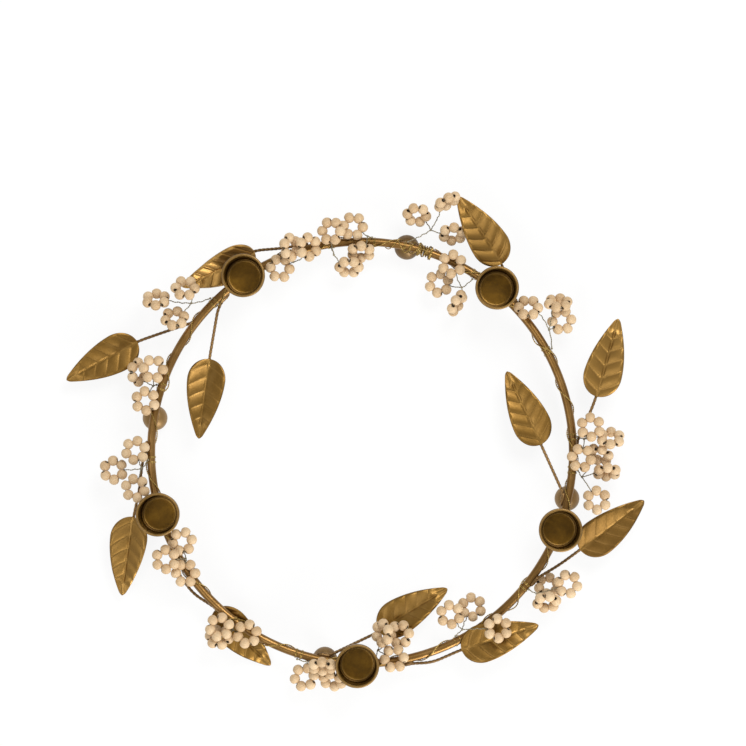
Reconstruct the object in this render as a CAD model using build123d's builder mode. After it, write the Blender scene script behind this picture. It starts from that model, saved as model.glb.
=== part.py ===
from build123d import *

import os
from dataclasses import dataclass
from math import cos, degrees, hypot, pi, radians, sin, sqrt

# A candle ring: a brass hoop on ball feet carries candle cups, pressed leaves and sprigs of wooden beads.
# All lengths are in millimetres and all angles in degrees. Z is up, the table is at zero,
# the hoop's axis is the Z axis, and angles round the hoop run anticlockwise from X.

# Hoop and feet
hoop_radius = 126.5
rod_diameter = 5.0
seam_angle = 73.0
seam_gap = 0.3
foot_diameter = 15.0
foot_sink = 0.5
foot_angles = {"back": 77.7, "left": 170.6, "front": 259.8, "right": 347.3}

# Candle cups
cup_bore_diameter = 22.6
cup_depth = 20.5
cup_floor = 1.2
cup_wall = 0.8
cup_corner_radius = 1.5
rim_overhang = 0.9
rim_thickness = 1.6
rim_round = 0.6
lip_round = 0.3
cup_angles = {"back_right": 50.6, "back_left": 123.8, "left": 196.9, "front": 268.8, "right": 338.7}

# Leaves and their stems
leaf_length = 48.4
leaf_width = 22.9
leaf_thickness = 0.5
leaf_cupping = 2.6
leaf_bow = 0.62
leaf_camber = 1.2
leaf_base_half_width = 1.2
leaf_tip_half_width = 0.4
widest_share = 0.27
tip_width_share = 0.1
tip_round_share = 0.04
taper_power = 1.8
stem_diameter = 1.9
stem_under_leaf = 14.0
stem_bend_radius = 4.0

# Beads and the soft wire they hang on
bead_diameter = 6.4
bead_length = 4.5
bead_end_diameter = 3.0
bead_chamfer = 0.95
bead_bulge = 0.35
bead_hole_diameter = 1.6
beads_per_loop = 6
bead_gap = 0.3
string_diameter = 0.5
stalk_diameter = 0.9
branch_past_string = 0.3
knot_diameter = 1.3
knot_length = 1.6

# Wire wound round the hoop
binding_diameter = 0.9
lashing_turns = 6
lashing_length = 8.8
winding_clear_of_lashing = 1.6
winding_clear_of_foot = 4.0

# Clearances
seat_clearance = 0.05
braze_clearance = 0.1
binding_clearance = 0.1
pivot_clearance = 0.15

# Worked-out sizes
rod_radius = rod_diameter / 2
rod_height = foot_diameter + rod_radius - foot_sink
cup_seat = rod_radius + seat_clearance
cup_bore_radius = cup_bore_diameter / 2
cup_radius = cup_bore_radius + cup_wall
cup_height = cup_floor + cup_depth
stem_offset = rod_radius + seat_clearance + stem_diameter / 2
binding_offset = rod_radius + binding_clearance + binding_diameter / 2
pivot_offset = rod_radius + pivot_clearance + knot_diameter / 2
half_step = pi / beads_per_loop
bead_half = bead_length / 2
bead_end_radius = bead_end_diameter / 2
bead_reach = bead_end_radius * sin(half_step) + bead_half * cos(half_step)
bead_circle = (bead_reach + bead_gap / 2) / sin(half_step)
string_radius = (bead_circle + hypot(bead_circle, bead_half)) / 2


@dataclass
class Loop:
    """A loop of beads: its middle, measured from the rod's centreline, and how it leans."""

    angle: float
    out: float
    up: float
    lean: float = 0
    heading: float = 0


@dataclass
class Sprig:
    """A stalk from the rod's side at angle and seat to a fork (angle, out, up), and its loops."""

    name: str
    angle: float
    seat: float
    fork: tuple
    loops: list


@dataclass
class Leaf:
    """A leaf's base, how it points, and its stem: from one angle to the next on the rod, then a route."""

    name: str
    angle: float
    out: float
    up: float
    heading: float
    pitch: float
    roll: float
    stem_start: float
    stem_end: float
    stem_seat: float
    route: tuple = ()


sprigs = [
    Sprig("01", 134.6, 10, (138.9, 9.6, 0), [
        Loop(143.4, 27.3, 2, -50), Loop(137.1, 17.7, 9, -35), Loop(144.4, 11.4, 4.5, -40)]),
    Sprig("02", 110.4, 150, (109.8, -5.3, 4), [
        Loop(114, -5.9, 6.3), Loop(109.2, 3.2, 12, 50, 90), Loop(104.6, 0.2, 12, 30, 90)]),
    Sprig("03", 98.5, 140, (98.1, -7, 3.5), [
        Loop(97.9, 7, 9.5, -20, 90), Loop(94, -15.1, 2, 55)]),
    Sprig("04", 87.3, 40, (88.5, 3, 4.5), [
        Loop(92.2, 9, 5), Loop(90.3, -6.4, 3, 55)]),
    Sprig("05", 77.6, 30, (72.8, 13.1, 1), [
        Loop(77, 19.6, 2, 45), Loop(71.2, 31.4, 15, 75, 28), Loop(67.4, 15.3, 1, 50)]),
    Sprig("06", 57.5, 180, (58.8, -10.9, 0), [
        Loop(64.4, -1.6, 7), Loop(65.5, -15, -1), Loop(57.5, -20.4, 2, 75, 59)]),
    Sprig("07", 28.7, 0, (33.2, 7.5, 2), [
        Loop(41, 5.4, 7.2, -35), Loop(37.3, 21.2, 5, -60), Loop(33.4, 17.1, 0)]),
    Sprig("08", 4.2, 40, (3.4, 6.8, 1.5), [
        Loop(6.3, 11, 8.5), Loop(3.3, 22.6, 4, -50), Loop(358.5, 4.7, 6.5)]),
    Sprig("09", 355.2, 0, (353.6, 6.2, 0), [
        Loop(359.4, 16.2, -2.5, 55, 334), Loop(355.4, 20.9, -2, 62), Loop(348.5, 16.7, 6)]),
    Sprig("10", 320.6, 30, (321, 7.9, 3), [
        Loop(327.4, 19.7, 4), Loop(324.4, 11, -5, -35), Loop(321, 15.7, 5, 50)]),
    Sprig("11", 297, 160, (299.5, -4.8, 5.5), [
        Loop(298.6, -16.1, 4.5), Loop(305.4, -12.7, -2), Loop(307.7, 5.9, 12)]),
    Sprig("12", 273.6, 180, (274.6, -7.6, 0), [
        Loop(276.5, -18, 8.5, -50, 90), Loop(281.8, -15.2, 1, -20, 90), Loop(278.9, -2, 6.7)]),
    Sprig("13", 252.6, 0, (257.9, 5.2, 2), [
        Loop(255.6, 12.6, -1.5), Loop(259.5, 3.2, 9.5, 60), Loop(262.6, 11.5, -5, 50, 344)]),
    Sprig("14", 233.4, 30, (234, 4.7, 2.5), [
        Loop(230.8, 7.8, 9.5), Loop(232.3, 13.4, 1.5, -40), Loop(237.7, 1.7, 6.3)]),
    Sprig("15", 211.5, 150, (211, -3.6, 4.8), [
        Loop(206.4, -6.7, 6.3), Loop(208.6, 6.6, 12.5), Loop(214.4, 1.2, 6.7)]),
    Sprig("16", 182, 60, (184.2, 5.8, 2.5), [
        Loop(179.5, 9, 5.5), Loop(184.1, 22.9, 0), Loop(189, 10.8, 5)]),
    Sprig("17", 161.8, 0, (162.4, 5, 0), [
        Loop(158.2, 7.8, 8), Loop(160.3, 16.2, -1, 50, 90), Loop(166.6, 6.6, 6.4)]),
]

leaves = [
    Leaf("01", 118.2, 10.7, -3, 206, 0, -30, 105.5, 107.5, 0, ((111.9, 5.5, -1.5),)),
    Leaf("02", 153.8, 24.4, -7, 208.5, 0, -8, 140.5, 142.5, -60, ((147.8, 11, -5.5),)),
    Leaf("03", 148.6, -19, -2, 262.9, 6, 0, 131, 133, 215, ((135.5, -4.9, -2),)),
    Leaf("04", 195.7, 16.3, -3, 261.6, -8, 10, 178, 180, 15, ((183.2, 5.8, -2), (190.1, 9.6, -4))),
    Leaf("05", 227, 2.1, -5.2, 313.2, -12.5, 15, 208.6, 211, 0, ((213.8, 5.4, -1), (220, 5.9, -6))),
    Leaf("06", 275.4, -18.3, -10.5, 31.7, 0, -18, 258.5, 261, 180),
    Leaf("07", 296.8, 5.8, 1.2, 18, 5, 0, 281.5, 283.5, 0, ((288.5, 6.2, 0.5),)),
    Leaf("08", 335.9, 17.1, -4, 38.1, 5, 8, 322.6, 324.6, 35, ((330.4, 10, -4),)),
    Leaf("09", 2.5, -18.9, -2, 115.2, 0, 0, 346, 348.5, 180),
    Leaf("10", 13.4, 18.1, -1, 74.5, 5, 0, 0.5, 3, -35, ((9.8, 12.4, -2.5),)),
    Leaf("11", 53.4, 14.6, 0.6, 124, 8, 0, 44.5, 47, 0),
]

# Shares of a leaf's length where its sections stand, closer together at the rounded ends
leaf_stations = (0, 0.02, 0.06, 0.13, 0.27, 0.42, 0.58, 0.73, 0.86, 0.95, 0.98, 1)


def ring_point(angle, out=0.0, up=0.0):
    """A point at an angle round the hoop, out from and up from the rod's centreline."""
    reach = hoop_radius + out
    return Vector(reach * cos(radians(angle)), reach * sin(radians(angle)), rod_height + up)


def rod_point(angle, seat, distance):
    """A point beside the rod: seat 0 faces out, 90 up, 180 in, at a distance from the centreline."""
    return ring_point(angle, distance * cos(radians(seat)), distance * sin(radians(seat)))


def section_plane(angle, up=0.0):
    """The upright plane across the rod: its x points out and its y points up."""
    a = radians(angle)
    return Plane(origin=ring_point(angle, 0, up), x_dir=(cos(a), sin(a), 0), z_dir=(sin(a), -cos(a), 0))


def corner(sketch, x, y):
    """The sketch's vertex nearest to a point."""
    return sketch.vertices().sort_by_distance((x, y))[:1]


def straight_run(start, end, diameter):
    """A straight piece of wire between two points."""
    with BuildSketch(Plane(origin=start, z_dir=end - start)) as section:
        Circle(diameter / 2)
    extrude(section.sketch, amount=(end - start).length)


def save(builder, name):
    builder.part.label = name
    export_step(builder.part, f"parts/{name}.step")


os.makedirs("parts", exist_ok=True)


# Hoop: one round rod, open by a hair at its butt seam
with BuildPart() as hoop:
    with BuildSketch(section_plane(seam_angle)):
        Circle(rod_radius)
    revolve(axis=Axis.Z, revolution_arc=360 - degrees(seam_gap / hoop_radius))
save(hoop, "hoop")


# Ball feet, each hollowed on top to bed the rod
def make_foot(angle):
    with BuildPart() as foot:
        with Locations(ring_point(angle, 0, foot_diameter / 2 - rod_height)):
            Sphere(foot_diameter / 2)
        with Locations((0, 0, rod_height)):
            Torus(hoop_radius, rod_radius + seat_clearance, mode=Mode.SUBTRACT)
    return foot


for place, angle in foot_angles.items():
    save(make_foot(angle), f"ball_foot_{place}")


# Candle cups: drawn brass with a straight bore, a rounded floor and a rolled rim
def make_cup(angle):
    rim_radius = cup_radius + rim_overhang
    rim_bottom = cup_height - rim_thickness
    with BuildPart() as cup:
        with BuildSketch(section_plane(angle, cup_seat)) as profile:
            with BuildLine():
                Polyline(
                    (0, 0),
                    (cup_radius, 0),
                    (cup_radius, rim_bottom),
                    (rim_radius, rim_bottom),
                    (rim_radius, cup_height),
                    (cup_bore_radius, cup_height),
                    (cup_bore_radius, cup_floor),
                    (0, cup_floor),
                    close=True,
                )
            make_face()
            fillet(corner(profile, cup_radius, 0), cup_corner_radius + cup_wall)
            fillet(corner(profile, cup_bore_radius, cup_floor), cup_corner_radius)
            fillet(corner(profile, rim_radius, rim_bottom), rim_round)
            fillet(corner(profile, rim_radius, cup_height), rim_round)
            fillet(corner(profile, cup_bore_radius, cup_height), lip_round)
        revolve(axis=Axis(ring_point(angle), (0, 0, 1)))
    return cup


for place, angle in cup_angles.items():
    save(make_cup(angle), f"candle_cup_{place}")


# Leaves: pressed sheet, folded along the midrib, oval at the base and blunt at the tip
def leaf_axes(leaf):
    """Directions along the midrib, to the leaf's left and out of its upper face."""
    turned = Vector(1, 0, 0).rotate(Axis.Y, -leaf.pitch)
    left = Vector(0, 1, 0).rotate(Axis((0, 0, 0), turned), leaf.roll)
    turned = turned.rotate(Axis.Z, leaf.heading)
    left = left.rotate(Axis.Z, leaf.heading)
    return turned, left, turned.cross(left)


def leaf_half_width(share):
    """Half the leaf's width at a share of its length: an oval base, a long taper and a rounded tip."""
    if share < widest_share:
        fullness = sqrt(1 - (1 - share / widest_share) ** 2)
    else:
        tapered = ((share - widest_share) / (1 - widest_share)) ** taper_power
        fullness = 1 - (1 - tip_width_share) * tapered
    past_round = max(0, share - 1 + tip_round_share) / tip_round_share
    fullness *= sqrt(1 - past_round**2)
    least = leaf_base_half_width + (leaf_tip_half_width - leaf_base_half_width) * share
    return max(least, leaf_width / 2 * fullness)


def leaf_section(plane, half_width, rise):
    """A thin folded strip: each half bows up from the midrib to its edge."""
    knee = leaf_bow * rise
    middle = half_width / 2
    top = rise + leaf_thickness
    top_knee = knee + leaf_thickness
    with BuildSketch(plane) as strip:
        with BuildLine():
            ThreePointArc((-half_width, rise), (-middle, knee), (0, 0))
            ThreePointArc((0, 0), (middle, knee), (half_width, rise))
            Line((half_width, rise), (half_width, top))
            ThreePointArc((half_width, top), (middle, top_knee), (0, leaf_thickness))
            ThreePointArc((0, leaf_thickness), (-middle, top_knee), (-half_width, top))
            Line((-half_width, top), (-half_width, rise))
        make_face()
    return strip.sketch


def make_leaf(leaf):
    base = ring_point(leaf.angle, leaf.out, leaf.up)
    along, left, normal = leaf_axes(leaf)
    sections = []
    for share in leaf_stations:
        half_width = leaf_half_width(share)
        lift = leaf_camber * sin(pi * share)
        spot = base + along * (share * leaf_length) + normal * lift
        rise = leaf_cupping * half_width / (leaf_width / 2)
        sections.append(leaf_section(Plane(origin=spot, x_dir=left, z_dir=along), half_width, rise))
    with BuildPart() as sheet:
        loft(sections)
    return sheet


for leaf in leaves:
    save(make_leaf(leaf), f"leaf_{leaf.name}")


# Stems: each lies along the rod's side, bends away and ends under its leaf's midrib
def stem_route(leaf):
    base = ring_point(leaf.angle, leaf.out, leaf.up)
    along, left, normal = leaf_axes(leaf)
    under = base - normal * (braze_clearance + stem_diameter / 2)
    on_rod = [rod_point(a, leaf.stem_seat, stem_offset) for a in (leaf.stem_start, leaf.stem_end)]
    between = [ring_point(*stop) for stop in leaf.route]
    return [*on_rod, *between, under, under + along * stem_under_leaf]


with BuildPart() as leaf_stems:
    for leaf in leaves:
        with BuildLine() as path:
            FilletPolyline(*stem_route(leaf), radius=stem_bend_radius)
        with BuildSketch(Plane(origin=path.line @ 0, z_dir=path.line % 0)):
            Circle(stem_diameter / 2)
        sweep(path=path.line)
save(leaf_stems, "leaf_stems")


# Wound wire: a tube on pairs of tangent arcs, two arcs to each quarter turn
def arc_pair_joint(start, start_way, end, end_way):
    """Where two tangent arcs from start to end meet, and the way the wire points there."""
    chord = end - start
    spread = 2 * (1 - start_way.dot(end_way))
    lean = chord.dot(start_way + end_way)
    reach = (sqrt(lean * lean + spread * chord.dot(chord)) - lean) / spread
    first = start + start_way * reach
    last = end - end_way * reach
    return (first + last) / 2, (last - first).normalized()


def wound_tube(place_at, quarters, diameter):
    """Sweep a wire through place_at(0) to place_at(quarters), straight for one diameter at each end."""
    step = 0.02
    knots = []
    for quarter in range(quarters + 1):
        way = (place_at(quarter + step) - place_at(quarter - step)).normalized()
        knots.append((place_at(quarter), way))
    first, first_way = knots[0]
    last, last_way = knots[-1]
    with BuildLine() as path:
        Line(first - first_way * diameter, first)
        for (start, start_way), (end, end_way) in zip(knots, knots[1:]):
            joint, joint_way = arc_pair_joint(start, start_way, end, end_way)
            TangentArc(start, joint, tangent=start_way)
            TangentArc(joint, end, tangent=joint_way)
        Line(last, last + last_way * diameter)
    with BuildSketch(Plane(origin=path.line @ 0, z_dir=path.line % 0)) as section:
        Circle(diameter / 2)
    sweep(section.sketch, path=path.line)


def least_gap(place_at, quarters, diameter):
    """The smallest gap between neighbouring turns, on points a sixteenth of a turn apart."""
    points = [place_at(i / 4) for i in range(4 * quarters + 1)]
    apart = 8
    nearest = min((p - q).length for i, p in enumerate(points) for q in points[i + apart:])
    return nearest - diameter


lashing_quarters = 4 * lashing_turns


def along_lashing(quarter):
    """A place on the close turns over the seam, which they cover evenly on both sides."""
    share = quarter / lashing_quarters - 0.5
    angle = seam_angle + degrees(share * lashing_length / hoop_radius)
    return rod_point(angle, 90 * quarter, binding_offset)


with BuildPart() as seam_lashing:
    wound_tube(along_lashing, lashing_quarters, binding_diameter)
save(seam_lashing, "seam_lashing")
lashing_gap = least_gap(along_lashing, lashing_quarters, binding_diameter)
print("least gap in the seam lashing", round(lashing_gap, 2))

# The long winding runs clockwise from the lashing to the back foot, under each cup and over each foot.
# Each stop gives an angle and the quarter turns since the stop before.
lashing_reach = degrees((lashing_length / 2 + winding_clear_of_lashing) / hoop_radius)
foot_reach = degrees(winding_clear_of_foot / hoop_radius)
winding_stops = [
    (seam_angle - lashing_reach, 0),
    (cup_angles["back_right"], 5),
    (foot_angles["right"] - 360, 18),
    (cup_angles["right"] - 360, 2),
    (cup_angles["front"] - 360, 20),
    (foot_angles["front"] - 360, 2),
    (cup_angles["left"] - 360, 18),
    (foot_angles["left"] - 360, 6),
    (cup_angles["back_left"] - 360, 14),
    (foot_angles["back"] + foot_reach - 360, 11),
]
winding_quarters = sum(quarters for angle, quarters in winding_stops)
winding_seat_at_start = 0


def along_winding(quarter):
    """A place on the long winding, a number of quarter turns from its start."""
    seat = winding_seat_at_start - 90 * quarter
    passed = 0
    for (start, skipped), (end, quarters) in zip(winding_stops, winding_stops[1:]):
        if quarter <= passed + quarters or end == winding_stops[-1][0]:
            angle = start + (end - start) * (quarter - passed) / quarters
            return rod_point(angle, seat, binding_offset)
        passed += quarters


with BuildPart() as binding_wire:
    wound_tube(along_winding, winding_quarters, binding_diameter)
save(binding_wire, "binding_wire")
winding_gap = least_gap(along_winding, winding_quarters, binding_diameter)
print("least gap in the binding wire", round(winding_gap, 2))


# Sprigs: soft wire from a foot beside the rod to a fork, then a branch and a loop for each ring of beads
def loop_normal(loop):
    """The way a loop faces: straight up, or leaning about an axis that heads some way in plan."""
    heading = radians(loop.heading)
    return Vector(0, 0, 1).rotate(Axis((0, 0, 0), (cos(heading), sin(heading), 0)), loop.lean)


def loop_plane(loop, fork):
    """The loop's own plane, with its x towards the fork, where the loop is tied."""
    middle = ring_point(loop.angle, loop.out, loop.up)
    normal = loop_normal(loop)
    towards = fork - middle
    towards = towards - normal * towards.dot(normal)
    return Plane(origin=middle, x_dir=towards, z_dir=normal)


def make_sprig_wire(sprig):
    foot = rod_point(sprig.angle, sprig.seat, pivot_offset)
    fork = ring_point(*sprig.fork)
    stalk_way = (fork - foot).normalized()
    with BuildPart() as wire:
        with Locations(Location(Plane(origin=foot, z_dir=stalk_way))):
            Sphere(knot_diameter / 2)
        straight_run(foot, fork, stalk_diameter)
        straight_run(fork - stalk_way * knot_length / 2, fork + stalk_way * knot_length / 2, knot_diameter)
        for loop in sprig.loops:
            plane = loop_plane(loop, fork)
            tie = plane.origin + plane.x_dir * string_radius
            branch_way = (tie - fork).normalized()
            straight_run(fork, tie + branch_way * branch_past_string, stalk_diameter)
            with Locations(Location(plane) * Rotation(0, 0, 180)):
                Torus(string_radius, string_diameter / 2)
    return wire


# One drilled bead about Z, a barrel with chamfered ends, and the places of its copies round each loop
bead_hole_radius = bead_hole_diameter / 2
bead_shoulder_radius = bead_diameter / 2 - bead_bulge
bead_shoulder = bead_half - bead_chamfer
with BuildPart() as bead:
    with BuildSketch(Plane.XZ):
        with BuildLine():
            ThreePointArc(
                (bead_shoulder_radius, -bead_shoulder),
                (bead_diameter / 2, 0),
                (bead_shoulder_radius, bead_shoulder),
            )
            Polyline(
                (bead_shoulder_radius, bead_shoulder),
                (bead_end_radius, bead_half),
                (bead_hole_radius, bead_half),
                (bead_hole_radius, -bead_half),
                (bead_end_radius, -bead_half),
                (bead_shoulder_radius, -bead_shoulder),
            )
        make_face()
    revolve(axis=Axis.Z)


def bead_places(sprig):
    fork = ring_point(*sprig.fork)
    places = []
    for loop in sprig.loops:
        plane = loop_plane(loop, fork)
        for count in range(beads_per_loop):
            turn = (2 * count + 1) * half_step
            outward = plane.x_dir * cos(turn) + plane.y_dir * sin(turn)
            around = plane.y_dir * cos(turn) - plane.x_dir * sin(turn)
            middle = plane.origin + outward * bead_circle
            places.append(Location(Plane(origin=middle, x_dir=outward, z_dir=around)))
    return places


def make_sprig_beads(sprig):
    with BuildPart() as beads:
        with Locations(*bead_places(sprig)):
            add(bead.part)
    return beads


for sprig in sprigs:
    save(make_sprig_wire(sprig), f"bead_sprig_{sprig.name}_wire")
    save(make_sprig_beads(sprig), f"bead_sprig_{sprig.name}_beads")
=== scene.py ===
from collections import namedtuple
from math import cos, degrees, hypot, pi, radians, sin

import bpy
import numpy as np
from mathutils import Matrix, Vector


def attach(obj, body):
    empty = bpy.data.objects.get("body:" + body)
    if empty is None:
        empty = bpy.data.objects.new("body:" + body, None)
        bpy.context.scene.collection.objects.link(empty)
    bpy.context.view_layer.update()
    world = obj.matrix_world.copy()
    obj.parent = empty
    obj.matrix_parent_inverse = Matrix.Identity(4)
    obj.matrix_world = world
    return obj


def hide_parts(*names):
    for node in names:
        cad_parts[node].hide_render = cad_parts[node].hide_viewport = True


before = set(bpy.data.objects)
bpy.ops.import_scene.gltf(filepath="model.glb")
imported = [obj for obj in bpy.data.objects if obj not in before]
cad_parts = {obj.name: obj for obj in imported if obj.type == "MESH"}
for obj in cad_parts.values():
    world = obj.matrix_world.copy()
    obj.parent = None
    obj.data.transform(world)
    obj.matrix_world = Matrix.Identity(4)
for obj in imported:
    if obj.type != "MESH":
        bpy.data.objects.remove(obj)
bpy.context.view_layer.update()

# The sizes and places below are the ones that the solids are built from, in millimetres and degrees.
# Meshes are made in millimetres too and brought to metres as they become objects.
METRE = 0.001

hoop_radius = 126.5
rod_diameter = 5.0
seam_angle = 73.0
seam_gap = 0.3
foot_diameter = 15.0
foot_sink = 0.5
foot_angles = {"back": 77.7, "left": 170.6, "front": 259.8, "right": 347.3}

cup_bore_diameter = 22.6
cup_depth = 20.5
cup_floor = 1.2
cup_wall = 0.8
rim_overhang = 0.9
rim_thickness = 1.6
cup_angles = {"back_right": 50.6, "back_left": 123.8, "left": 196.9, "front": 268.8, "right": 338.7}

leaf_length = 48.4
leaf_width = 22.9
leaf_thickness = 0.5
leaf_cupping = 2.6
leaf_camber = 1.2
leaf_base_half_width = 1.2
leaf_tip_half_width = 0.4
widest_share = 0.27
tip_width_share = 0.1
tip_round_share = 0.04
taper_power = 1.8
stem_diameter = 1.9
stem_under_leaf = 14.0

bead_diameter = 6.4
bead_length = 4.5
bead_end_diameter = 3.0
bead_hole_diameter = 1.6
beads_per_loop = 6
bead_gap = 0.3
string_diameter = 0.5
stalk_diameter = 0.9
knot_diameter = 1.3

binding_diameter = 0.9
lashing_turns = 6
lashing_length = 8.8
winding_clear_of_lashing = 1.6
winding_clear_of_foot = 4.0

seat_clearance = 0.05
braze_clearance = 0.1
binding_clearance = 0.1
pivot_clearance = 0.15

rod_radius = rod_diameter / 2
rod_height = foot_diameter + rod_radius - foot_sink
cup_seat = rod_radius + seat_clearance
cup_bore_radius = cup_bore_diameter / 2
cup_radius = cup_bore_radius + cup_wall
cup_height = cup_floor + cup_depth
stem_offset = rod_radius + seat_clearance + stem_diameter / 2
binding_offset = rod_radius + binding_clearance + binding_diameter / 2
pivot_offset = rod_radius + pivot_clearance + knot_diameter / 2
half_step = pi / beads_per_loop
bead_reach = bead_end_diameter / 2 * sin(half_step) + bead_length / 2 * cos(half_step)
bead_circle = (bead_reach + bead_gap / 2) / sin(half_step)
string_radius = (bead_circle + hypot(bead_circle, bead_length / 2)) / 2

# A loop's middle (angle, then out and up from the rod's centreline), its lean,
# and the heading of the axis it leans about
Loop = namedtuple("Loop", "angle out up lean heading", defaults=(0, 0))
# A stalk from the rod's side at angle and seat to a fork (angle, out, up), and its loops
Sprig = namedtuple("Sprig", "name angle seat fork loops")
# A leaf's base, how it points, and its stem: from one angle to the next on the rod, then a route
Leaf = namedtuple(
    "Leaf", "name angle out up heading pitch roll stem_start stem_end stem_seat route", defaults=((),)
)

sprigs = [
    Sprig("01", 134.6, 10, (138.9, 9.6, 0), [
        Loop(143.4, 27.3, 2, -50), Loop(137.1, 17.7, 9, -35), Loop(144.4, 11.4, 4.5, -40)]),
    Sprig("02", 110.4, 150, (109.8, -5.3, 4), [
        Loop(114, -5.9, 6.3), Loop(109.2, 3.2, 12, 50, 90), Loop(104.6, 0.2, 12, 30, 90)]),
    Sprig("03", 98.5, 140, (98.1, -7, 3.5), [
        Loop(97.9, 7, 9.5, -20, 90), Loop(94, -15.1, 2, 55)]),
    Sprig("04", 87.3, 40, (88.5, 3, 4.5), [
        Loop(92.2, 9, 5), Loop(90.3, -6.4, 3, 55)]),
    Sprig("05", 77.6, 30, (72.8, 13.1, 1), [
        Loop(77, 19.6, 2, 45), Loop(71.2, 31.4, 15, 75, 28), Loop(67.4, 15.3, 1, 50)]),
    Sprig("06", 57.5, 180, (58.8, -10.9, 0), [
        Loop(64.4, -1.6, 7), Loop(65.5, -15, -1), Loop(57.5, -20.4, 2, 75, 59)]),
    Sprig("07", 28.7, 0, (33.2, 7.5, 2), [
        Loop(41, 5.4, 7.2, -35), Loop(37.3, 21.2, 5, -60), Loop(33.4, 17.1, 0)]),
    Sprig("08", 4.2, 40, (3.4, 6.8, 1.5), [
        Loop(6.3, 11, 8.5), Loop(3.3, 22.6, 4, -50), Loop(358.5, 4.7, 6.5)]),
    Sprig("09", 355.2, 0, (353.6, 6.2, 0), [
        Loop(359.4, 16.2, -2.5, 55, 334), Loop(355.4, 20.9, -2, 62), Loop(348.5, 16.7, 6)]),
    Sprig("10", 320.6, 30, (321, 7.9, 3), [
        Loop(327.4, 19.7, 4), Loop(324.4, 11, -5, -35), Loop(321, 15.7, 5, 50)]),
    Sprig("11", 297, 160, (299.5, -4.8, 5.5), [
        Loop(298.6, -16.1, 4.5), Loop(305.4, -12.7, -2), Loop(307.7, 5.9, 12)]),
    Sprig("12", 273.6, 180, (274.6, -7.6, 0), [
        Loop(276.5, -18, 8.5, -50, 90), Loop(281.8, -15.2, 1, -20, 90), Loop(278.9, -2, 6.7)]),
    Sprig("13", 252.6, 0, (257.9, 5.2, 2), [
        Loop(255.6, 12.6, -1.5), Loop(259.5, 3.2, 9.5, 60), Loop(262.6, 11.5, -5, 50, 344)]),
    Sprig("14", 233.4, 30, (234, 4.7, 2.5), [
        Loop(230.8, 7.8, 9.5), Loop(232.3, 13.4, 1.5, -40), Loop(237.7, 1.7, 6.3)]),
    Sprig("15", 211.5, 150, (211, -3.6, 4.8), [
        Loop(206.4, -6.7, 6.3), Loop(208.6, 6.6, 12.5), Loop(214.4, 1.2, 6.7)]),
    Sprig("16", 182, 60, (184.2, 5.8, 2.5), [
        Loop(179.5, 9, 5.5), Loop(184.1, 22.9, 0), Loop(189, 10.8, 5)]),
    Sprig("17", 161.8, 0, (162.4, 5, 0), [
        Loop(158.2, 7.8, 8), Loop(160.3, 16.2, -1, 50, 90), Loop(166.6, 6.6, 6.4)]),
]

leaves = [
    Leaf("01", 118.2, 10.7, -3, 206, 0, -30, 105.5, 107.5, 0, ((111.9, 5.5, -1.5),)),
    Leaf("02", 153.8, 24.4, -7, 208.5, 0, -8, 140.5, 142.5, -60, ((147.8, 11, -5.5),)),
    Leaf("03", 148.6, -19, -2, 262.9, 6, 0, 131, 133, 215, ((135.5, -4.9, -2),)),
    Leaf("04", 195.7, 16.3, -3, 261.6, -8, 10, 178, 180, 15, ((183.2, 5.8, -2), (190.1, 9.6, -4))),
    Leaf("05", 227, 2.1, -5.2, 313.2, -12.5, 15, 208.6, 211, 0, ((213.8, 5.4, -1), (220, 5.9, -6))),
    Leaf("06", 275.4, -18.3, -10.5, 31.7, 0, -18, 258.5, 261, 180),
    Leaf("07", 296.8, 5.8, 1.2, 18, 5, 0, 281.5, 283.5, 0, ((288.5, 6.2, 0.5),)),
    Leaf("08", 335.9, 17.1, -4, 38.1, 5, 8, 322.6, 324.6, 35, ((330.4, 10, -4),)),
    Leaf("09", 2.5, -18.9, -2, 115.2, 0, 0, 346, 348.5, 180),
    Leaf("10", 13.4, 18.1, -1, 74.5, 5, 0, 0.5, 3, -35, ((9.8, 12.4, -2.5),)),
    Leaf("11", 53.4, 14.6, 0.6, 124, 8, 0, 44.5, 47, 0),
]


def unit(v):
    return v / np.linalg.norm(v)


def ring_point(angle, out=0.0, up=0.0):
    """A point at an angle round the hoop, out from and up from the rod's centreline."""
    reach = hoop_radius + out
    return np.array((reach * cos(radians(angle)), reach * sin(radians(angle)), rod_height + up))


def rod_point(angle, seat, distance):
    """A point beside the rod: seat 0 faces out, 90 up, 180 in, at a distance from the centreline."""
    return ring_point(angle, distance * cos(radians(seat)), distance * sin(radians(seat)))


def smooth(low, high, x):
    """0 up to low, 1 from high on, and an even change between them."""
    t = np.clip((x - low) / (high - low), 0, 1)
    return t * t * (3 - 2 * t)


def hump(distance, reach):
    """1 at no distance, and close to 0 at twice the reach."""
    return np.exp(-((distance / reach) ** 2))


# Mesh making: a shape is (vertices, faces, {attribute: one number or vector for each vertex})
def grid_faces(rows, columns, wrap_rows=False, wrap_columns=False):
    """Quads of a grid of vertices, row by row."""
    faces = []
    for r in range(rows if wrap_rows else rows - 1):
        for c in range(columns if wrap_columns else columns - 1):
            r2 = (r + 1) % rows
            c2 = (c + 1) % columns
            faces.append((r * columns + c, r * columns + c2, r2 * columns + c2, r2 * columns + c))
    return faces


def joined(shapes):
    """Several shapes as one."""
    vertices, faces, attributes, count = [], [], {}, 0
    for own_vertices, own_faces, own_attributes in shapes:
        vertices.append(own_vertices)
        faces += [tuple(i + count for i in face) for face in own_faces]
        count += len(own_vertices)
        for key, values in own_attributes.items():
            attributes.setdefault(key, []).append(values)
    return np.vstack(vertices), faces, {key: np.concatenate(values) for key, values in attributes.items()}


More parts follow.
